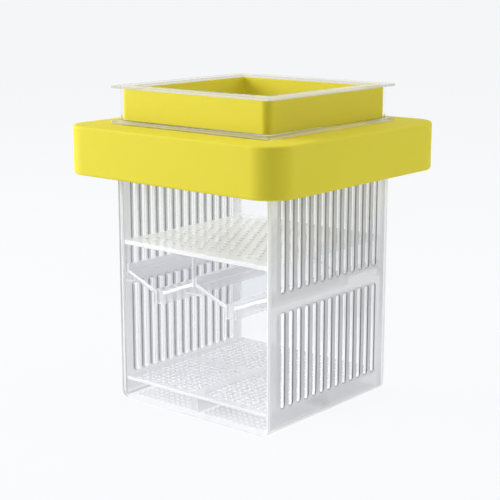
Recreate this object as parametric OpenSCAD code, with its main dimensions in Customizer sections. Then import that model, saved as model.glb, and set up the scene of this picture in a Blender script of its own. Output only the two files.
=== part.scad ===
// Floating breeding box.
// A square clear box with slotted side walls stands on a latticed base.
// Inside it, from the bottom up, are a mesh floor, two V troughs side by side
// and a perforated tray. A clear collar with a yellow lining plugs into the top,
// and a yellow foam float rings the walls under the collar's lower flange.
// The origin is the centre of the underside, +Z is up, and the front faces -Y.

/* [Box] */
// Outside width and depth of the box
box_w = 120; // [100:1:150]
// Height of the box walls
box_h = 175.5; // [146:0.1:215]
// Thickness of the box walls
wall_t = 2.5; // [2:0.1:3.5]
// Radius of the two bottom corners of the front and back walls
bottom_r = 5; // [3:0.5:8]

/* [Slots in the side walls] */
// Width of a slot
slot_w = 3.6; // [2:0.1:4.5]
// Distance from one slot to the next
slot_pitch = 7.7; // [6:0.1:10]
// Plain width beside the first and the last slot, at least
slot_margin = 9; // [6:0.5:15]
// Height of the lower slots' bottom ends above the mesh floor
slot_rise = 1.5; // [1:0.5:6]
// Height of the bottom edge of the plain band
band_low = 73; // [60:0.5:88]
// Height of the plain band
band_h = 12; // [9:0.5:15]
// Plain height above the upper slots
slot_head = 23.5; // [16:0.5:28]

/* [Base and mesh floor] */
// Thickness of the base plate
base_t = 2.5; // [2:0.1:4]
// Height of the mesh floor's top
floor_top = 13.5; // [10:0.5:17]
// Thickness of the mesh floor
floor_t = 2; // [1.5:0.1:3]
// Width of the gaps in both lattices
mesh_gap = 2.7; // [1.2:0.1:3.2]
// Distance from one gap to the next
mesh_pitch = 4.5; // [3.5:0.1:6]
// Plain width at the edges of both lattices
mesh_edge = 4.5; // [3:0.5:8]
// Width of the plain cross that divides both lattices
cross_w = 7; // [5:0.5:12]
// Thickness of the walls under the cross
rib_t = 1.5; // [1:0.1:2]

/* [Perforated tray] */
// Thickness of the tray
tray_t = 2.5; // [2:0.1:4]
// Diameter of a hole in the tray
hole_d = 3; // [2:0.1:4]
// Distance between holes in a row
hole_pitch = 7.5; // [6:0.1:10]
// Plain width at the tray's edge, at least
tray_edge = 4; // [3:0.5:8]

/* [V troughs] */
// Depth of the slopes' outer edges below the top of the plain band
slope_inset = 1; // [0:0.5:3]
// Fall of a slope from its outer edge to its lip
slope_fall = 9.7; // [7:0.1:12]
// Height of the upright lips beside the slit
lip_h = 8.3; // [6:0.1:11]
// Height of the side flanges above the slopes' outer edges
flange_h = 3; // [1:0.5:5]
// Height of the end walls above the slopes' outer edges, up to the tray
end_h = 16; // [12:0.5:20]
// Width of the slit at the bottom of a trough
slit_w = 4.8; // [4.5:0.1:8]
// Thickness of the lips and of the side flanges
lip_t = 1.7; // [1.2:0.1:2.5]
// Thickness of the slopes, measured upright
slope_t = 2.1; // [1.6:0.1:3]
// Thickness of the end walls
end_t = 2; // [1.5:0.1:3]
// Clearance between the two troughs
trough_gap = 0.6; // [0.4:0.1:1]
// Width of a bracket under the end of a slope
peg_w = 7; // [5:0.5:10]
// Depth of a bracket
peg_d = 4; // [3:0.5:6]
// Height of a bracket at its thin end
peg_h = 2.4; // [2:0.1:4]

/* [Collar and lining] */
// Height of the neck between the two flanges
neck_h = 19.5; // [14:0.5:26]
// Thickness of the neck's wall
neck_t = 1.5; // [1.2:0.1:2.5]
// Outside corner radius of the neck
neck_r = 7; // [4:0.5:10]
// How far the flanges stand out past the neck
flange_out = 2.5; // [2:0.1:5]
// Thickness of the lower flange
low_flange_t = 2; // [1.5:0.1:3]
// Thickness of the top flange
top_flange_t = 1.6; // [1.2:0.1:3]
// Corner radius of the flanges
flange_r = 1.5; // [1:0.5:4]
// Depth of the skirt that plugs into the walls
skirt_h = 14; // [8:0.5:18]
// Thickness of the lining, from the neck to the opening
lining_t = 6.2; // [4:0.1:8]
// Radius of the inside corners of the collar, the lining and the float
inner_r = 0.5; // [0.3:0.1:0.6]

/* [Float] */
// Width of the float's ring
float_ring_w = 23.7; // [18:0.1:32]
// Height of the float
float_h = 30; // [24:0.5:36]
// Outside corner radius of the float
float_r = 18; // [12:0.5:24]

/* [Clearances] */
// Clearance beside pieces that lift out
lift_gap = 0.4; // [0.2:0.1:0.6]
// Clearance beside the collar's skirt and the lining
plug_gap = 0.3; // [0.2:0.05:0.4]
// Clearance around the walls inside the float
float_gap = 0.3; // [0.2:0.05:0.5]
// Clearance between a slope and its bracket
peg_gap = 0.1; // [0.05:0.05:0.2]

/* [Hidden] */
$fn = 48;

half_w = box_w / 2;
inside = half_w - wall_t;

// Slots
slot_bottom = floor_top + slot_rise;
band_high = band_low + band_h;
slot_top = box_h - slot_head;
slot_count = 1 + floor((2 * (inside - slot_margin) - slot_w) / slot_pitch);

// Lattices: one quadrant runs from the cross to the edge
quad_start = cross_w / 2;
quad_end = inside - mesh_edge;
quad_len = quad_end - quad_start;
gap_count = 1 + floor((quad_len - mesh_gap) / mesh_pitch);
gap_start = quad_start + (quad_len - (gap_count - 1) * mesh_pitch) / 2;

// Troughs
slope_high = band_high - slope_inset;
slope_low = slope_high - slope_fall;
lip_bottom = slope_low - lip_h;
flange_top = slope_high + flange_h;
tray_bottom = slope_high + end_h;
lift_half = inside - lift_gap;
trough_half = (lift_half - trough_gap / 2) / 2;
trough_x = trough_gap / 2 + trough_half;
lip_out = slit_w / 2 + lip_t;
slope_k = slope_fall / (trough_half - lip_out);

// Tray
row_pitch = hole_pitch * sin(60);
hole_reach = lift_half - tray_edge - hole_d / 2;
row_half = floor(hole_reach / row_pitch);

// Collar
low_flange_top = box_h + low_flange_t;
neck_top = low_flange_top + neck_h;
flange_half = half_w + flange_out;
neck_in = half_w - neck_t;
skirt_out = inside - plug_gap;
skirt_in = skirt_out - neck_t;
lining_out = neck_in - plug_gap;
lining_in = neck_in - lining_t;

// Float
float_in = half_w + float_gap;
float_half = float_in + float_ring_w;
float_top = box_h - plug_gap;

// Square plate or ring outline with round corners
module round_square(half, r) {
    square([2 * half, 2 * (half - r)], center = true);
    square([2 * (half - r), 2 * half], center = true);
    for (x = [-1, 1], y = [-1, 1])
        translate([x * (half - r), y * (half - r)]) circle(r = r);
}

// Square ring from z upwards
module ring(z, h, outer, r_out, inner, r_in) {
    translate([0, 0, z])
        linear_extrude(h)
            difference() {
                round_square(outer, r_out);
                round_square(inner, r_in);
            }
}

// Outline of the box seen from the front, with its round bottom corners
module front_outline() {
    translate([-half_w, bottom_r]) square([box_w, box_h - bottom_r]);
    translate([bottom_r - half_w, 0]) square([box_w - 2 * bottom_r, bottom_r]);
    for (x = [-1, 1])
        translate([x * (half_w - bottom_r), bottom_r]) circle(r = bottom_r);
}

// A solid that is drawn in x and z, and runs along y from y0
module along_y(y0, length) {
    translate([0, y0 + length, 0]) rotate([90, 0, 0]) linear_extrude(length) children();
}

// Keeps what lies inside the box's outline
module trimmed() {
    intersection() {
        children();
        along_y(-half_w, box_w) front_outline();
    }
}

// ---- walls ----

// Height of a slope's underside, d from the middle of its slit
function under(d) = slope_low - slope_t + slope_k * (d - lip_out);

// Bracket at the outer edge of a trough, drawn for the right-hand wall
module corner_bracket() {
    near = trough_half - peg_w;
    seat = trough_half - lip_t;
    base = under(near) - peg_gap - peg_h;
    polygon([
        [trough_x + near, base],
        [inside, base],
        [inside, under(seat) - peg_gap],
        [trough_x + seat, under(seat) - peg_gap],
        [trough_x + near, under(near) - peg_gap]
    ]);
}

// Bracket under the ridge, where the two troughs meet
module ridge_bracket() {
    far = trough_half - peg_w;
    seat = trough_half - lip_t;
    base = under(far) - peg_gap - peg_h;
    polygon([
        [far - trough_x, base],
        [trough_x - far, base],
        [trough_x - far, under(far) - peg_gap],
        [trough_x - seat, under(seat) - peg_gap],
        [seat - trough_x, under(seat) - peg_gap],
        [far - trough_x, under(far) - peg_gap]
    ]);
}

module end_panel() {
    along_y(-half_w, wall_t) front_outline();
    along_y(-inside, peg_d) {
        ridge_bracket();
        corner_bracket();
        mirror([1, 0]) corner_bracket();
    }
}

module front_panel() {
    color([0.86, 0.89, 0.93, 0.45]) end_panel();
}

module back_panel() {
    color([0.86, 0.89, 0.93, 0.45]) mirror([0, 1, 0]) end_panel();
}

// Slot outline in y and z, with round ends
module slot_outline(low, high) {
    translate([-slot_w / 2, low + slot_w / 2]) square([slot_w, high - low - slot_w]);
    for (z = [low + slot_w / 2, high - slot_w / 2])
        translate([0, z]) circle(d = slot_w);
}

module slot_row(low, high) {
    for (i = [0 : slot_count - 1])
        translate([(i - (slot_count - 1) / 2) * slot_pitch, 0]) slot_outline(low, high);
}

// Drawn for the right-hand side
module side_panel() {
    trimmed()
        translate([inside, 0, 0])
            rotate([90, 0, 90])
                linear_extrude(wall_t)
                    difference() {
                        translate([-inside, 0]) square([2 * inside, box_h]);
                        slot_row(slot_bottom, band_low);
                        slot_row(band_high, slot_top);
                    }
}

module left_panel() {
    color([0.80, 0.83, 0.88, 0.6]) mirror([1, 0, 0]) side_panel();
}

module right_panel() {
    color([0.80, 0.83, 0.88, 0.6]) side_panel();
}

// ---- base and mesh floor ----

// Gaps of one lattice: four quadrants of long narrow gaps
module lattice_gaps() {
    for (sx = [-1, 1], sy = [-1, 1], i = [0 : gap_count - 1])
        translate([sx * (gap_start + i * mesh_pitch), sy * (quad_start + quad_len / 2)])
            square([mesh_gap, quad_len], center = true);
}

module base_plate() {
    color([0.84, 0.86, 0.9, 0.6])
        trimmed()
            linear_extrude(base_t)
                difference() {
                    square(2 * inside, center = true);
                    lattice_gaps();
                }
}

// Four upright walls under the plain cross, down to the base plate
module cross_walls(half) {
    wall = [2 * half, rib_t];
    for (side = [-1, 1]) {
        translate([0, side * (cross_w - rib_t) / 2]) square(wall, center = true);
        rotate(90) translate([0, side * (cross_w - rib_t) / 2]) square(wall, center = true);
    }
}

module mesh_floor() {
    half = inside - plug_gap;
    color([0.78, 0.8, 0.85, 0.8]) {
        translate([0, 0, floor_top - floor_t])
            linear_extrude(floor_t)
                difference() {
                    square(2 * half, center = true);
                    lattice_gaps();
                }
        translate([0, 0, base_t])
            linear_extrude(floor_top - floor_t - base_t) cross_walls(half);
    }
}

// ---- troughs ----

// One side of a trough from the slit out, in x and z
module trough_side() {
    seat = trough_half - lip_t;
    polygon([
        [slit_w / 2, lip_bottom],
        [lip_out, lip_bottom],
        [lip_out, under(lip_out)],
        [seat, under(seat)],
        [trough_half, under(seat)],
        [trough_half, flange_top],
        [seat, flange_top],
        [seat, under(seat) + slope_t],
        [lip_out, slope_low],
        [slit_w / 2, slope_low]
    ]);
}

// End wall of a trough, from the bottom of the lips to the tray
module trough_end() {
    seat = trough_half - lip_t;
    polygon([
        [-lip_out, lip_bottom],
        [lip_out, lip_bottom],
        [lip_out, under(lip_out)],
        [seat, under(seat)],
        [trough_half, under(seat)],
        [trough_half, tray_bottom],
        [-trough_half, tray_bottom],
        [-trough_half, under(seat)],
        [-seat, under(seat)],
        [-lip_out, under(lip_out)]
    ]);
}

module trough() {
    along_y(-lift_half, 2 * lift_half) {
        trough_side();
        mirror([1, 0]) trough_side();
    }
    for (y = [-lift_half, lift_half - end_t])
        along_y(y, end_t) trough_end();
}

module trough_left() {
    color([0.75, 0.78, 0.84, 0.7]) translate([-trough_x, 0, 0]) trough();
}

module trough_right() {
    color([0.75, 0.78, 0.84, 0.7]) translate([trough_x, 0, 0]) trough();
}

// ---- perforated tray ----

// Rows of holes, each second row moved by half a pitch
module tray_holes() {
    for (row = [-row_half : row_half]) {
        shift = abs(row) % 2 * hole_pitch / 2;
        count = floor((hole_reach - shift) / hole_pitch);
        for (i = [-count - abs(row) % 2 : count])
            translate([i * hole_pitch + shift, row * row_pitch]) circle(d = hole_d, $fn = 24);
    }
}

module perforated_tray() {
    color([0.93, 0.94, 0.96])
        translate([0, 0, tray_bottom])
            linear_extrude(tray_t)
                difference() {
                    square(2 * lift_half, center = true);
                    tray_holes();
                }
}

// ---- collar, lining and float ----

module collar() {
    color([0.86, 0.88, 0.9, 0.5]) {
        ring(neck_top, top_flange_t, flange_half, flange_r, lining_in, inner_r);
        ring(low_flange_top, neck_h, half_w, neck_r, neck_in, neck_r - neck_t);
        ring(box_h, low_flange_t, flange_half, flange_r, skirt_in, inner_r);
        ring(box_h - skirt_h, skirt_h, skirt_out, inner_r + neck_t, skirt_in, inner_r);
    }
}

module neck_lining() {
    color([0.93, 0.87, 0.2])
        ring(low_flange_top, neck_h, lining_out, neck_r - neck_t - plug_gap, lining_in, inner_r);
}

module float_ring() {
    color([0.9, 0.85, 0.2])
        ring(float_top - float_h, float_h, float_half, float_r, float_in, inner_r);
}

front_panel();
back_panel();
left_panel();
right_panel();
base_plate();
mesh_floor();
perforated_tray();
trough_left();
trough_right();
collar();
neck_lining();
float_ring();
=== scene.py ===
import math

import bmesh
import bpy
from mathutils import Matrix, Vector


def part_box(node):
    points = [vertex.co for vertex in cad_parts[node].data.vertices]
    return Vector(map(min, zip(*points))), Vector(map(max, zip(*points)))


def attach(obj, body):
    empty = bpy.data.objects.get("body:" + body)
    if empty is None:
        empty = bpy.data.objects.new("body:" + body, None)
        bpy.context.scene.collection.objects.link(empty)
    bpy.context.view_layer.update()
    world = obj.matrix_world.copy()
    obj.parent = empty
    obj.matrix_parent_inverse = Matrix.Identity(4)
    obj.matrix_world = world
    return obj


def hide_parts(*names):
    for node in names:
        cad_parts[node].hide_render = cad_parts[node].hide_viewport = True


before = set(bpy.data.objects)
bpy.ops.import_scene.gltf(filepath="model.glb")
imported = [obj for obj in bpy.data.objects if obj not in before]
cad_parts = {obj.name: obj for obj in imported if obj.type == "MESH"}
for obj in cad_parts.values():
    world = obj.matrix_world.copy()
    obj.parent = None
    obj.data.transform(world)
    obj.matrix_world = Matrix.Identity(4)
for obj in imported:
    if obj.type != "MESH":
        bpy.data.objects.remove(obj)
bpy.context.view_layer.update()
mm = 0.001
print("frame loaded:", len(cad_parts), "nodes")

# Shared node groups


# Gives a socket a number, a colour or another node's output
def feed(tree, socket, value):
    if isinstance(value, bpy.types.NodeSocket):
        tree.links.new(value, socket)
    elif isinstance(value, tuple):
        socket.default_value = (*value, 1)
    else:
        socket.default_value = value


# inputs holds each input's name and its starting value; every socket is a plain number
def newGroup(name, inputs, outputs):
    group = bpy.data.node_groups.new(name, "ShaderNodeTree")
    for label, value in inputs.items():
        socket = group.interface.new_socket(label, in_out="INPUT", socket_type="NodeSocketFloat")
        socket.default_value = value
    for label in outputs:
        group.interface.new_socket(label, in_out="OUTPUT", socket_type="NodeSocketFloat")
    return group, group.nodes.new("NodeGroupInput"), group.nodes.new("NodeGroupOutput")


def mathNode(tree, operation, first, second):
    node = tree.nodes.new("ShaderNodeMath")
    node.operation = operation
    feed(tree, node.inputs[0], first)
    feed(tree, node.inputs[1], second)
    return node.outputs[0]


def noiseNode(tree, place, scale, detail, roughness=0.5):
    node = tree.nodes.new("ShaderNodeTexNoise")
    tree.links.new(place, node.inputs["Vector"])
    feed(tree, node.inputs["Scale"], scale)
    node.inputs["Detail"].default_value = detail
    node.inputs["Roughness"].default_value = roughness
    return node.outputs["Fac"]


sheetDetail = {
    "rippleDetail": 1.5,
    "scuff": {"scale": 900, "detail": 4, "roughness": 0.7},
    "scuffHeight": 0.02,
    "blotch": {"scale": 55, "detail": 3},
}


# Slow ripple of a moulded sheet, with faint haze and hairline scuffs
def makeMouldedSheet():
    group, given, made = newGroup(
        "mouldedSheet",
        {"Ripple Scale": 40, "Ripple": 0.5, "Base Roughness": 0.05, "Haze": 0.05},
        ["Height", "Roughness", "Haze Mask"],
    )
    place = group.nodes.new("ShaderNodeTexCoord").outputs["Object"]
    ripple = noiseNode(group, place, given.outputs["Ripple Scale"], sheetDetail["rippleDetail"])
    scuff = noiseNode(group, place, **sheetDetail["scuff"])
    blotch = noiseNode(group, place, **sheetDetail["blotch"])
    height = mathNode(group, "MULTIPLY", ripple, given.outputs["Ripple"])
    scuffHeight = mathNode(group, "MULTIPLY", scuff, sheetDetail["scuffHeight"])
    height = mathNode(group, "ADD", height, scuffHeight)
    mask = mathNode(group, "MULTIPLY", blotch, scuff)
    rough = mathNode(group, "MULTIPLY", mask, given.outputs["Haze"])
    rough = mathNode(group, "ADD", rough, given.outputs["Base Roughness"])
    group.links.new(height, made.inputs["Height"])
    group.links.new(rough, made.inputs["Roughness"])
    group.links.new(mask, made.inputs["Haze Mask"])
    return group


foamDetail = {
    "grain": {"scale": 2600, "detail": 3, "roughness": 0.6},
    "grainHeight": 0.4,
    "driftDetail": 3,
}


# Closed-cell foam: fine cells, a pressed skin and slow colour drift
def makeFoamSkin():
    group, given, made = newGroup(
        "foamSkin",
        {"Cell Scale": 1400, "Cell Depth": 1.0, "Drift Scale": 18},
        ["Height", "Cells", "Drift"],
    )
    place = group.nodes.new("ShaderNodeTexCoord").outputs["Object"]
    cells = group.nodes.new("ShaderNodeTexVoronoi")
    cells.feature = "F1"
    group.links.new(place, cells.inputs["Vector"])
    group.links.new(given.outputs["Cell Scale"], cells.inputs["Scale"])
    grain = noiseNode(group, place, **foamDetail["grain"])
    drift = noiseNode(group, place, given.outputs["Drift Scale"], foamDetail["driftDetail"])
    height = mathNode(group, "MULTIPLY", cells.outputs["Distance"], given.outputs["Cell Depth"])
    grainHeight = mathNode(group, "MULTIPLY", grain, foamDetail["grainHeight"])
    height = mathNode(group, "ADD", height, grainHeight)
    group.links.new(height, made.inputs["Height"])
    group.links.new(cells.outputs["Distance"], made.inputs["Cells"])
    group.links.new(drift, made.inputs["Drift"])
    return group


mouldedSheet = makeMouldedSheet()
foamSkin = makeFoamSkin()
print("node groups made")

# Finishes


def newMaterial(name):
    material = bpy.data.materials.new(name)
    material.use_nodes = True
    tree = material.node_tree
    return material, tree, tree.nodes["Principled BSDF"]


def colourMix(tree, factor, first, second):
    node = tree.nodes.new("ShaderNodeMix")
    node.data_type = "RGBA"
    tree.links.new(factor, node.inputs["Factor"])
    feed(tree, node.inputs["A"], first)
    feed(tree, node.inputs["B"], second)
    return node.outputs["Result"]


# The material shows the first shader where the factor is 0, and the second where it is 1
def showMix(tree, factor, first, second):
    node = tree.nodes.new("ShaderNodeMixShader")
    tree.links.new(factor, node.inputs["Fac"])
    tree.links.new(first, node.inputs[1])
    tree.links.new(second, node.inputs[2])
    tree.links.new(node.outputs["Shader"], tree.nodes["Material Output"].inputs["Surface"])


def placeGroup(tree, group, values):
    node = tree.nodes.new("ShaderNodeGroup")
    node.node_tree = group
    for label, value in values.items():
        node.inputs[label].default_value = value
    return node


def addBump(tree, shader, height, look):
    bump = tree.nodes.new("ShaderNodeBump")
    bump.inputs["Distance"].default_value = look["bumpDepth"]
    bump.inputs["Strength"].default_value = look["bumpStrength"]
    tree.links.new(height, bump.inputs["Height"])
    tree.links.new(bump.outputs["Normal"], shader.inputs["Normal"])


def addSheetGroup(tree, shader, look):
    sheet = placeGroup(tree, mouldedSheet, {
        "Ripple Scale": look["rippleScale"],
        "Ripple": look["ripple"],
        "Base Roughness": look["roughness"],
        "Haze": look["haze"],
    })
    addBump(tree, shader, sheet.outputs["Height"], look)
    tree.links.new(sheet.outputs["Roughness"], shader.inputs["Roughness"])
    return sheet


# Lamps pass a clear finish with this tint, so that what is behind it is lit
def passLamps(tree, shader, tint):
    passing = tree.nodes.new("ShaderNodeBsdfTransparent")
    feed(tree, passing.inputs["Color"], tint)
    path = tree.nodes.new("ShaderNodeLightPath")
    showMix(tree, path.outputs["Is Shadow Ray"], shader.outputs["BSDF"], passing.outputs["BSDF"])


# Clear moulding seen as thin skins: see-through where faced, denser at a slant.
# A look's inside colour, where it has one, is a painted shade for a face that is seen from inside
# the sheet.
def clearSkin(name, look):
    material, tree, shader = newMaterial(name)
    sheet = addSheetGroup(tree, shader, look)
    tint = colourMix(tree, sheet.outputs["Haze Mask"], look["colour"], look["hazeColour"])
    if "insideShadeColour" in look:
        side = tree.nodes.new("ShaderNodeNewGeometry")
        tint = colourMix(tree, side.outputs["Backfacing"], tint, look["insideShadeColour"])
    tree.links.new(tint, shader.inputs["Base Color"])
    shader.inputs["IOR"].default_value = look["ior"]
    slant = tree.nodes.new("ShaderNodeLayerWeight")
    slant.inputs["Blend"].default_value = look["slantBlend"]
    spread = look["slantOpacity"] - look["opacity"]
    cover = mathNode(tree, "MULTIPLY", slant.outputs["Facing"], spread)
    cover = mathNode(tree, "ADD", cover, look["opacity"])
    tree.links.new(cover, shader.inputs["Alpha"])
    passLamps(tree, shader, look["shadowColour"])
    return material


# Clear moulding as a solid that bends what is seen through it
def clearSolid(name, look):
    material, tree, shader = newMaterial(name)
    addSheetGroup(tree, shader, look)
    feed(tree, shader.inputs["Base Color"], look["colour"])
    shader.inputs["Transmission Weight"].default_value = 1
    shader.inputs["IOR"].default_value = look["ior"]
    passLamps(tree, shader, look["shadowColour"])
    return material


def foamFinish(name, look):
    material, tree, shader = newMaterial(name)
    skin = placeGroup(tree, foamSkin, {
        "Cell Scale": look["cellScale"],
        "Cell Depth": look["cellDepth"],
        "Drift Scale": look["driftScale"],
    })
    tint = colourMix(tree, skin.outputs["Drift"], look["colour"], look["driftColour"])
    tree.links.new(tint, shader.inputs["Base Color"])
    addBump(tree, shader, skin.outputs["Height"], look)
    rough = mathNode(tree, "MULTIPLY", skin.outputs["Cells"], look["cellRoughness"])
    rough = mathNode(tree, "ADD", rough, look["roughness"])
    tree.links.new(rough, shader.inputs["Roughness"])
    shader.inputs["Specular IOR Level"].default_value = look["specular"]
    return material


mouldedSurface = {"rippleScale": 22, "ripple": 0.35, "bumpDepth": 0.00012, "bumpStrength": 0.6}

# Clear solids: what lies behind shows through, tinted by the colour
sheetSurface = {**mouldedSurface, "haze": 0.05, "ior": 1.25, "shadowColour": (0.985, 0.985, 0.988)}
thinSurface = {**sheetSurface, "ior": 1.06}  # at 1.25 the neck has a black line, seen from above
wallLook = {**sheetSurface, "colour": (0.985, 0.988, 0.992), "roughness": 0.01}
troughLook = {**thinSurface, "colour": (0.89, 0.892, 0.90), "roughness": 0.05}
collarLook = {**thinSurface, "colour": (0.97, 0.97, 0.96), "roughness": 0.02}
flangeLook = {**thinSurface, "colour": (0.88, 0.875, 0.86), "roughness": 0.06}

# Skins scatter light as well as passing it: slotted walls, rims, cut sides, lattices and tray
skinSurface = {
    **mouldedSurface, "roughness": 0.16, "haze": 0.12, "hazeColour": (0.95, 0.955, 0.97),
    "ior": 1.45, "slantBlend": 0.4, "shadowColour": (0.97, 0.97, 0.975),
}
# Painted shade: the bars' grey stands in for darker surroundings seen through the clear plastic
paintedShadeBarLook = {
    **skinSurface, "colour": (0.74, 0.745, 0.77), "hazeColour": (0.80, 0.805, 0.83),
    "opacity": 0.58, "slantOpacity": 0.68,
}
innerFaceLook = {
    **skinSurface, "colour": (0.90, 0.905, 0.92), "opacity": 0.06, "slantOpacity": 0.14,
}
# Painted highlight: the bright rims, ends and cut sides of the clear sheets
edgeHighlightLook = {**skinSurface, "colour": (0.97, 0.975, 0.98), "opacity": 0.75, "slantOpacity": 0.90}
# Painted highlight: the bright lips beside the troughs' slit
lipHighlightLook = {**skinSurface, "colour": (0.95, 0.955, 0.965), "opacity": 0.22, "slantOpacity": 0.50}
# Painted light and shade: slot sides near white seen from outside, grey seen from inside the sheet
paintedSlotSideLook = {
    **skinSurface, "colour": (0.985, 0.99, 0.995), "insideShadeColour": (0.52, 0.525, 0.55),
    "opacity": 0.80, "slantOpacity": 0.90,
}
# Painted shade: the dark lines along the slots' straight sides of the clear walls
slotShadeLineLook = {
    **skinSurface, "colour": (0.23, 0.23, 0.25), "hazeColour": (0.30, 0.30, 0.32),
    "opacity": 0.90, "slantOpacity": 0.95,
}
# Painted light and shade: the clear lattice's broad faces are grey and its gaps' upright sides near
# white
latticeLook = {
    **skinSurface, "colour": (0.76, 0.765, 0.785), "hazeColour": (0.82, 0.825, 0.845),
    "opacity": 0.80, "slantOpacity": 0.86,
}
gapHighlightLook = {
    **skinSurface, "colour": (0.985, 0.99, 0.995), "opacity": 0.85, "slantOpacity": 0.92,
}
ribLook = {**skinSurface, "colour": (0.985, 0.99, 0.995), "opacity": 0.40, "slantOpacity": 0.55}
# Painted highlight: the base plate's gaps' sides are whiter than its broad faces
baseLook = {**skinSurface, "colour": (0.88, 0.885, 0.90), "opacity": 0.12, "slantOpacity": 0.18}
baseGapHighlightLook = {
    **skinSurface, "colour": (0.97, 0.975, 0.985), "opacity": 0.20, "slantOpacity": 0.30,
}
# The tray's white is its own colour; its slight blue lean is a painted correction for the yellow
# light the foam bounces onto it
trayLook = {
    **skinSurface, "colour": (0.98, 0.985, 1.0), "hazeColour": (0.98, 0.985, 1.0),
    "opacity": 0.58, "slantOpacity": 0.70,
}
# Painted shade: the tray's holes have grey sides
holeShadeLook = {
    **skinSurface, "colour": (0.80, 0.81, 0.84), "hazeColour": (0.84, 0.845, 0.87),
    "opacity": 0.45, "slantOpacity": 0.60,
}
# Painted reflection: the clear flanges' rims are yellowish, as the yellow foam shows in them
flangeRimReflectionLook = {
    **skinSurface, "colour": (0.70, 0.67, 0.54), "hazeColour": (0.78, 0.76, 0.66),
    "opacity": 0.50, "slantOpacity": 0.75,
}

foamLook = {
    "colour": (0.79, 0.69, 0.030), "driftColour": (0.85, 0.74, 0.045), "cellScale": 1400,
    "cellDepth": 1.0, "driftScale": 18, "bumpDepth": 0.00012, "bumpStrength": 0.5,
    "roughness": 0.62, "cellRoughness": 0.12, "specular": 0.35,
}

finishes = {
    "wall": clearSolid("clearWall", wallLook),
    "trough": clearSolid("clearTrough", troughLook),
    "collar": clearSolid("clearCollar", collarLook),
    "flange": clearSolid("clearFlange", flangeLook),
    "bar": clearSkin("greyBarPaintedShade", paintedShadeBarLook),
    "innerFace": clearSkin("innerFace", innerFaceLook),
    "edge": clearSkin("highlightEdge", edgeHighlightLook),
    "lip": clearSkin("highlightLip", lipHighlightLook),
    "paintedSlotSide": clearSkin("paintedSlotSide", paintedSlotSideLook),
    "slotShadeLine": clearSkin("slotShadeLine", slotShadeLineLook),
    "lattice": clearSkin("clearLattice", latticeLook),
    "gapHighlight": clearSkin("latticeGapHighlight", gapHighlightLook),
    "rib": clearSkin("crossWall", ribLook),
    "base": clearSkin("clearBase", baseLook),
    "baseGap": clearSkin("baseGapHighlight", baseGapHighlightLook),
    "tray": clearSkin("paleTray", trayLook),
    "holeShade": clearSkin("trayHoleShade", holeShadeLook),
    "flangeRimReflection": clearSkin("flangeRimReflection", flangeRimReflectionLook),
    "foam": foamFinish("yellowFoam", foamLook),
}
print("finishes made:", len(finishes))

# Shared making

seam = 0.05 * mm  # left between pieces whose faces meet, so that neither hides in the other
mergeGap = 0.002 * mm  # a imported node's vertices that are nearer than this are one
levelGap = 0.01 * mm  # a vertex that is nearer than this to a level is on it
flatAngle = 0.5  # degrees; faces that turn by less are joined
softAngle = 40  # degrees; edges that turn by more are softened
shadeAngle = 50  # degrees; edges that turn by more are shaded sharp
faceOn = 0.9  # a face looks along an axis where this much of its normal does


def sharpEdges(bm, degrees):
    limit = math.radians(degrees)
    return [e for e in bm.edges if len(e.link_faces) == 2 and e.calc_face_angle(0) > limit]


# shape gives the softened edges' width and segments
def softenEdges(bm, shape, edges=None, clamped=True):
    bmesh.ops.bevel(bm, geom=edges or sharpEdges(bm, softAngle), offset=shape["softEdge"],
                    offset_type="OFFSET", segments=shape["softSegments"], profile=0.5,
                    affect="EDGES", material=-1, clamp_overlap=clamped)


# Moves the vertices that lie at one place along an axis (0, 1 or 2)
def shiftLevel(bm, axis, place, amount):
    for vert in bm.verts:
        if abs(vert.co[axis] - place) < levelGap:
            vert.co[axis] += amount


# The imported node's own shape, merged and with its flat faces joined
def startFromNode(node):
    bm = bmesh.new()
    bm.from_mesh(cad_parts[node].data)
    bmesh.ops.remove_doubles(bm, verts=bm.verts, dist=mergeGap)
    limit = math.radians(flatAngle)
    bmesh.ops.dissolve_limit(bm, angle_limit=limit, verts=bm.verts, edges=bm.edges)
    return bm


def extrudeBy(bm, faces, move):
    raised = bmesh.ops.extrude_face_region(bm, geom=faces)["geom"]
    verts = [g for g in raised if isinstance(g, bmesh.types.BMVert)]
    bmesh.ops.translate(bm, verts=verts, vec=move)


# True where a point is in the outer rim of a square plate
def onRim(point, rim):
    return max(abs(point.x), abs(point.y)) > rim


# pickFinish(face) gives one of the finish names
def finishPiece(bm, name, node, body, names, pickFinish=None):
    mesh = bpy.data.meshes.new(name)
    for face in bm.faces:
        face.smooth = True
        if pickFinish:
            face.material_index = names.index(pickFinish(face))
    for edge in bm.edges:
        edge.smooth = True
    for edge in sharpEdges(bm, shadeAngle):
        edge.smooth = False
    bm.to_mesh(mesh)
    bm.free()
    for finish in names:
        mesh.materials.append(finishes[finish])
    piece = bpy.data.objects.new(name, mesh)
    bpy.context.scene.collection.objects.link(piece)
    weighted = piece.modifiers.new("flatFaces", "WEIGHTED_NORMAL")
    weighted.keep_sharp = True
    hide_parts(node)
    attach(piece, body)
    print(name, "made:", len(mesh.polygons), "faces")


# Walls

plainWall = {"softEdge": 0.35 * mm, "softSegments": 2}

slottedWall = {
    "softEdge": 0.6 * mm,
    "softSegments": 2,
    "footHeight": 8 * mm,  # below this a side face is bright, a painted highlight as on the sheet's ends
    "flatNormal": 0.97,  # a broad face looks this much out or in
    "roundEndNormal": 0.5,  # a slot's round end looks this much up or down
    "lineNormal": 0.2,  # a soft outer edge looks this much out
}


def makePlainWall(name, node):
    bm = startFromNode(node)
    softenEdges(bm, plainWall)

    # The rim of the sheet is bright, a painted highlight; its two broad faces are clear
    def pick(face):
        return "wall" if abs(face.normal.y) > faceOn else "edge"

    finishPiece(bm, name, node, "box", ["wall", "edge"], pick)


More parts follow.
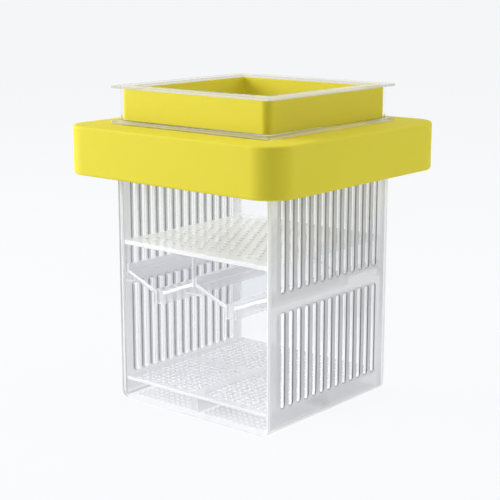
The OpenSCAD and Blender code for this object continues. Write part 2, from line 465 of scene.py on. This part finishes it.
def makeSlottedWall(name, node):
    low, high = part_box(node)
    bm = startFromNode(node)
    shiftLevel(bm, 1, low.y, seam)
    shiftLevel(bm, 1, high.y, -seam)
    softenEdges(bm, slottedWall, clamped=False)
    rim = slottedWall["softEdge"] + seam
    outward = math.copysign(1, low.x)

    # The outer face is grey, a painted shade for the darker surroundings seen through the clear
    # bars, and the inner one clear. The sheet's ends and the slots' sides and round ends are bright,
    # a painted highlight; seen from inside the sheet the slots' sides are grey, a painted shade. The
    # soft outer edges along a slot's straight sides are the dark lines beside it, a painted shade.
    def pick(face):
        facingOut = face.normal.x * outward
        if abs(facingOut) > slottedWall["flatNormal"]:
            return "bar" if facingOut > 0 else "innerFace"
        centre = face.calc_center_median()
        onEnd = min(centre.y - low.y, high.y - centre.y, high.z - centre.z) < rim
        onRoundEnd = abs(face.normal.z) > slottedWall["roundEndNormal"]
        if onEnd or onRoundEnd or centre.z < slottedWall["footHeight"]:
            return "edge"
        return "slotShadeLine" if facingOut > slottedWall["lineNormal"] else "paintedSlotSide"

    names = ["bar", "edge", "paintedSlotSide", "slotShadeLine", "innerFace"]
    finishPiece(bm, name, node, "box", names, pick)


makePlainWall("frontWall", "front_panel")
makePlainWall("backWall", "back_panel")
makeSlottedWall("leftWall", "left_panel")
makeSlottedWall("rightWall", "right_panel")

# Lattices

lattice = {
    "gap": 2.7 * mm,
    "pitch": 4.5 * mm,
    "firstGap": 5.75 * mm,  # middle of the first gap beside the cross
    "gapCount": 11,
    "crossHalf": 3.5 * mm,
    "ribThickness": 1.5 * mm,
    "sheetThickness": 2 * mm,
    "rimWidth": 0.5 * mm,
    "softEdge": 0.2 * mm,
    "softSegments": 1,
    "sheetNormal": 0.7,  # the sheet's broad faces and their soft edges look this much up or down
}
ribInner, ribOuter = lattice["crossHalf"] - lattice["ribThickness"], lattice["crossHalf"]


# Places where a lattice is cut along one axis, from its one side to the other
def latticeCuts(half, extra=()):
    cuts = [ribInner, ribOuter, half, *extra]
    for i in range(lattice["gapCount"]):
        middle = lattice["firstGap"] + i * lattice["pitch"]
        cuts += [middle - lattice["gap"] / 2, middle + lattice["gap"] / 2]
    cuts = sorted(cuts)
    return [-c for c in reversed(cuts)] + cuts


def inGap(value):
    step = (abs(value) - lattice["firstGap"]) / lattice["pitch"]
    nearest = min(max(round(step), 0), lattice["gapCount"] - 1)
    return abs(step - nearest) * lattice["pitch"] < lattice["gap"] / 2


# A flat sheet cut at the given places, with its gaps taken out, then given its thickness
def latticeSheet(cutsX, cutsY, bottom, top):
    bm = bmesh.new()
    countX, countY = len(cutsX) - 1, len(cutsY) - 1
    bmesh.ops.create_grid(bm, x_segments=countX, y_segments=countY, size=1)
    for vert in bm.verts:
        column = round((vert.co.x + 1) / 2 * countX)
        row = round((vert.co.y + 1) / 2 * countY)
        vert.co = (cutsX[column], cutsY[row], bottom)
    gaps = [f for f in bm.faces if all(inGap(place) for place in f.calc_center_bounds().xy)]
    bmesh.ops.delete(bm, geom=gaps, context="FACES")
    extrudeBy(bm, bm.faces[:], (0, 0, top - bottom))
    bmesh.ops.recalc_face_normals(bm, faces=bm.faces)
    return bm


def onSheetFace(face):
    return abs(face.normal.z) > lattice["sheetNormal"]


def makeMeshFloor():
    low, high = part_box("mesh_floor")
    sheetLow = high.z - lattice["sheetThickness"]
    cuts = latticeCuts(high.x)
    bm = latticeSheet(cuts, cuts, sheetLow, high.z)

    # The faces under the sheet from which the cross walls are drawn down
    def isRoot(face):
        places = face.calc_center_bounds().xy
        return face.normal.z < -faceOn and any(ribInner < abs(p) < ribOuter for p in places)

    roots = [f for f in bm.faces if isRoot(f)]
    extrudeBy(bm, roots, (0, 0, low.z - sheetLow))
    bmesh.ops.delete(bm, geom=[f for f in roots if f.is_valid], context="FACES")
    shiftLevel(bm, 2, low.z, seam)
    softenEdges(bm, lattice)
    rim = high.x - lattice["rimWidth"]

    # The sheet's own rim is bright, a painted highlight; the cross walls' ends under it are not
    def pick(face):
        centre = face.calc_center_median()
        if centre.z <= sheetLow:
            return "rib"
        if onRim(centre, rim):
            return "edge"
        return "lattice" if onSheetFace(face) else "gapHighlight"

    names = ["lattice", "gapHighlight", "edge", "rib"]
    finishPiece(bm, "meshFloor", "mesh_floor", "box", names, pick)


# The walls' bottom corners are round, so the plate is cut away over them
basePlate = {"footHalf": 55 * mm, "footRise": 0.67 * mm, "footMargin": 0.1 * mm}


def makeBasePlate():
    low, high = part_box("base_plate")
    cutsX = latticeCuts(high.x, [basePlate["footHalf"]])
    bm = latticeSheet(cutsX, latticeCuts(high.x), low.z, high.z)
    margin = basePlate["footMargin"]
    for vert in bm.verts:
        if abs(vert.co.x) > high.x - margin and vert.co.z < low.z + margin:
            vert.co.z = low.z + basePlate["footRise"]
    for axis in (0, 1):
        shiftLevel(bm, axis, high.x, -seam)
        shiftLevel(bm, axis, -high.x, seam)
    softenEdges(bm, lattice)

    # The gaps' upright sides are brighter than the sheet's broad faces, a painted highlight
    def pick(face):
        return "base" if onSheetFace(face) else "baseGap"

    names = ["base", "baseGap"]
    finishPiece(bm, "basePlate", "base_plate", "box", names, pick)


makeMeshFloor()
makeBasePlate()

# Tray and troughs

tray = {"softEdge": 0.25 * mm, "softSegments": 1, "rimWidth": 0.5 * mm}


def makeTray():
    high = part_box("perforated_tray")[1]
    bm = startFromNode("perforated_tray")
    softenEdges(bm, tray)
    rim = high.x - tray["rimWidth"]

    def pick(face):
        if abs(face.normal.z) > faceOn:
            return "tray"
        return "edge" if onRim(face.calc_center_median(), rim) else "holeShade"

    names = ["tray", "edge", "holeShade"]
    finishPiece(bm, "trayPlate", "perforated_tray", "tray", names, pick)


trough = {
    "slitHalf": 2.4 * mm,
    "lipThickness": 1.7 * mm,
    "slopeLow": 74.3 * mm,
    "slopeHigh": 84 * mm,
    "slopeThickness": 2.1 * mm,
    "flangeTop": 87 * mm,
    "endThickness": 2 * mm,
    "softEdge": 0.3 * mm,
    "softSegments": 2,
    "slopeNormal": (0.5, 0.98),  # a slope's broad face looks this much up or down
    "slopeArea": 500 * mm * mm,  # and is larger than this
}


# A closed solid drawn in x and z, and raised along y from one place to the other
def alongY(bm, outline, start, end):
    face = bm.faces.new([bm.verts.new((x, start, z)) for x, z in outline])
    extrudeBy(bm, [face], (0, end - start, 0))


def makeTrough(name, node, body):
    low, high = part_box(node)
    middle, half = (low.x + high.x) / 2, (high.x - low.x) / 2
    slit, slopeLow, flangeTop = trough["slitHalf"], trough["slopeLow"], trough["flangeTop"]
    lipOut = slit + trough["lipThickness"]
    seat = half - trough["lipThickness"]
    fall = (trough["slopeHigh"] - slopeLow) / (half - lipOut)
    lowUnder = slopeLow - trough["slopeThickness"]
    highUnder = lowUnder + fall * (seat - lipOut)
    highOver = highUnder + trough["slopeThickness"]
    innerEnd = high.y - trough["endThickness"]
    top = high.z - seam

    # One slope with its lip beside the slit and its upright flange
    slope = [
        (slit, low.z), (lipOut, low.z), (lipOut, lowUnder), (seat, highUnder), (half, highUnder),
        (half, flangeTop), (seat, flangeTop), (seat, highOver), (lipOut, slopeLow), (slit, slopeLow),
    ]
    endPlate = [
        (-lipOut, low.z), (lipOut, low.z), (lipOut, lowUnder), (seat, highUnder), (half, highUnder),
        (half, top), (-half, top), (-half, highUnder), (-seat, highUnder), (-lipOut, lowUnder),
    ]
    bm = bmesh.new()
    for side in (-1, 1):
        slopeHere = [(middle + side * x, z) for x, z in slope]
        plateHere = [(middle + x, z) for x, z in endPlate]
        alongY(bm, slopeHere, seam - innerEnd, innerEnd - seam)
        alongY(bm, plateHere, side * innerEnd, side * high.y)
    bmesh.ops.recalc_face_normals(bm, faces=bm.faces)
    softenEdges(bm, trough)
    least, most = trough["slopeNormal"]

    # Slopes and end plates are clear; sections, lips and flanges are bright, a painted highlight
    def pick(face):
        onPlate = abs(face.calc_center_median().y) > innerEnd - seam / 2
        lookingAlong = abs(face.normal.y) > faceOn
        if onPlate or lookingAlong:
            return "wall" if onPlate and lookingAlong else "edge"
        onSlope = least < abs(face.normal.z) < most and face.calc_area() > trough["slopeArea"]
        return "trough" if onSlope else "lip"

    finishPiece(bm, name, node, body, ["wall", "trough", "edge", "lip"], pick)


makeTray()
makeTrough("leftTrough", "trough_left", "left_trough")
makeTrough("rightTrough", "trough_right", "right_trough")

# Collar, lining and float

collar = {
    "lowFlangeBase": 175.5 * mm,
    "lowFlangeTop": 177.5 * mm,
    "topFlangeThickness": 1.6 * mm,
    "flangeMargin": 0.3 * mm,  # takes in the flanges' soft edges
    "rimWidth": 0.6 * mm,
    "softEdge": 0.35 * mm,
    "softSegments": 2,
}


def makeCollar():
    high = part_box("collar")[1]
    bm = startFromNode("collar")
    shiftLevel(bm, 2, collar["lowFlangeBase"], seam)
    softenEdges(bm, collar)
    rim = high.x - collar["rimWidth"]
    margin = collar["flangeMargin"]
    topFlange = high.z - collar["topFlangeThickness"] - margin
    lowFlange = (collar["lowFlangeBase"] - margin, collar["lowFlangeTop"] + margin)

    # The flanges' rims are yellowish, a painted reflection of the yellow foam, and their plates
    # dense, and the neck and skirt are clear
    def pick(face):
        centre = face.calc_center_median()
        if onRim(centre, rim):
            return "flangeRimReflection"
        onFlange = centre.z > topFlange or lowFlange[0] < centre.z < lowFlange[1]
        return "flange" if onFlange else "collar"

    names = ["collar", "flange", "flangeRimReflection"]
    finishPiece(bm, "clearCollar", "collar", "collar", names, pick)


floatShape = {
    "corner": 18 * mm,
    "hole": 60.3 * mm,
    "holeCorner": 0.5 * mm,
    "cornerSegments": 20,
    "softEdge": 1.6 * mm,
    "softSegments": 4,
    "softAngle": 60,
}
liningShape = {
    **floatShape,
    "corner": 5.2 * mm,
    "hole": 52.3 * mm,
    "cornerSegments": 12,
    "softEdge": 0.4 * mm,
}


# A square ring of foam: two square loops with round corners, bridged and raised
def foamRing(half, bottom, top, shape):
    bm = bmesh.new()
    for size, radius in ((half, shape["corner"]), (shape["hole"], shape["holeCorner"])):
        made = bmesh.ops.create_grid(bm, x_segments=1, y_segments=1, size=size)["verts"]
        bmesh.ops.bevel(bm, geom=made, offset=radius, offset_type="OFFSET",
                        segments=shape["cornerSegments"], profile=0.5, affect="VERTICES",
                        material=-1)
    bmesh.ops.delete(bm, geom=bm.faces[:], context="FACES_ONLY")
    bmesh.ops.bridge_loops(bm, edges=bm.edges[:])
    bmesh.ops.translate(bm, verts=bm.verts, vec=(0, 0, bottom))
    extrudeBy(bm, bm.faces[:], (0, 0, top - bottom))
    bmesh.ops.recalc_face_normals(bm, faces=bm.faces)
    softenEdges(bm, shape, sharpEdges(bm, shape["softAngle"]))
    return bm


def makeFoam(name, node, body, shape):
    low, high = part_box(node)
    bm = foamRing(high.x, low.z + seam, high.z - seam, shape)
    finishPiece(bm, name, node, body, ["foam"])


makeCollar()
makeFoam("floatRing", "float_ring", "float", floatShape)
makeFoam("neckLining", "neck_lining", "collar", liningShape)

# Floor, light and camera

studio = {
    "backdrop": (0.965, 0.98, 1.0),
    "floorShare": 0.90,  # how much of the floor's look is the plain backdrop colour
    "floorColour": (0.86, 0.87, 0.88),
    "floorRoughness": 0.9,
    "floorHalf": 15,
    "floorDrop": 0.1 * mm,
    "ambient": 0.38,
    "aim": (0, 0, 0.11),
}


# The rays that should see the plain backdrop: camera, mirror and see-through ones.
# After a soft bounce they are light on a piece, so they get the ambient level.
def seeingRays(tree):
    path = tree.nodes.new("ShaderNodeLightPath")
    seen = mathNode(tree, "MAXIMUM", path.outputs["Is Camera Ray"], path.outputs["Is Glossy Ray"])
    seen = mathNode(tree, "MAXIMUM", seen, path.outputs["Is Transmission Ray"])
    unbounced = mathNode(tree, "LESS_THAN", path.outputs["Diffuse Depth"], 0.5)
    return mathNode(tree, "MULTIPLY", seen, unbounced)


def makeFloor():
    bm = bmesh.new()
    bmesh.ops.create_grid(bm, x_segments=1, y_segments=1, size=studio["floorHalf"])
    bmesh.ops.translate(bm, verts=bm.verts, vec=(0, 0, -studio["floorDrop"]))
    mesh = bpy.data.meshes.new("studioFloor")
    bm.to_mesh(mesh)
    bm.free()
    floor = bpy.data.objects.new("studioFloor", mesh)
    bpy.context.scene.collection.objects.link(floor)
    material, tree, shader = newMaterial("paleFloor")
    feed(tree, shader.inputs["Base Color"], studio["floorColour"])
    shader.inputs["Roughness"].default_value = studio["floorRoughness"]
    glow = tree.nodes.new("ShaderNodeEmission")
    feed(tree, glow.inputs["Color"], studio["backdrop"])
    glowing = mathNode(tree, "MULTIPLY", seeingRays(tree), studio["floorShare"])
    showMix(tree, glowing, shader.outputs["BSDF"], glow.outputs["Emission"])
    mesh.materials.append(material)


def makeWorld():
    world = bpy.data.worlds.new("studioWorld")
    bpy.context.scene.world = world
    world.use_nodes = True
    tree = world.node_tree
    background = tree.nodes["Background"]
    feed(tree, background.inputs["Color"], studio["backdrop"])
    level = mathNode(tree, "MULTIPLY", seeingRays(tree), 1 - studio["ambient"])
    level = mathNode(tree, "ADD", level, studio["ambient"])
    tree.links.new(level, background.inputs["Strength"])


lamps = {
    "keyLamp": {"place": (-1.15, -0.80, 0.65), "size": 0.8, "power": 17.6},
    "fillLamp": {"place": (1.10, 1.00, 0.55), "size": 0.8, "power": 6.2},
    "topLamp": {"place": (0.1, 0.05, 1.4), "size": 0.9, "power": 4.4},
}


def makeLamp(name, place, size, power):
    data = bpy.data.lights.new(name, "AREA")
    data.shape = "SQUARE"
    data.size = size
    data.energy = power
    lamp = bpy.data.objects.new(name, data)
    lamp.location = place
    towards = Vector(studio["aim"]) - Vector(place)
    lamp.rotation_euler = towards.to_track_quat("-Z", "Y").to_euler()
    lamp.visible_transmission = False  # the clear finishes pass its light already
    bpy.context.scene.collection.objects.link(lamp)


# Fitted to the photograph's corners; angles in degrees, lengths in metres
view = {
    "azimuth": 39.81, "distance": 0.790, "height": 0.2687, "sideways": -0.00266,
    "pitch": 12.455, "focalPixels": 1279.2, "imagePixels": 500, "sensor": 36,
}


def makeCamera():
    azimuth, pitch = math.radians(view["azimuth"]), math.radians(view["pitch"])
    data = bpy.data.cameras.new("photoCamera")
    data.sensor_width = view["sensor"]
    data.lens = view["focalPixels"] / view["imagePixels"] * view["sensor"]
    camera = bpy.data.objects.new("photoCamera", data)
    right = Vector((math.cos(azimuth), math.sin(azimuth), 0))
    back = Vector((math.sin(azimuth), -math.cos(azimuth), 0))
    place = back * view["distance"] + right * view["sideways"]
    camera.location = place + Vector((0, 0, view["height"]))
    camera.rotation_euler = (math.pi / 2 - pitch, 0, azimuth)
    bpy.context.scene.collection.objects.link(camera)
    bpy.context.scene.camera = camera


makeFloor()
makeWorld()
for name, lamp in lamps.items():
    makeLamp(name, **lamp)
makeCamera()
bpy.context.scene.view_settings.view_transform = "Standard"
print("studio made")
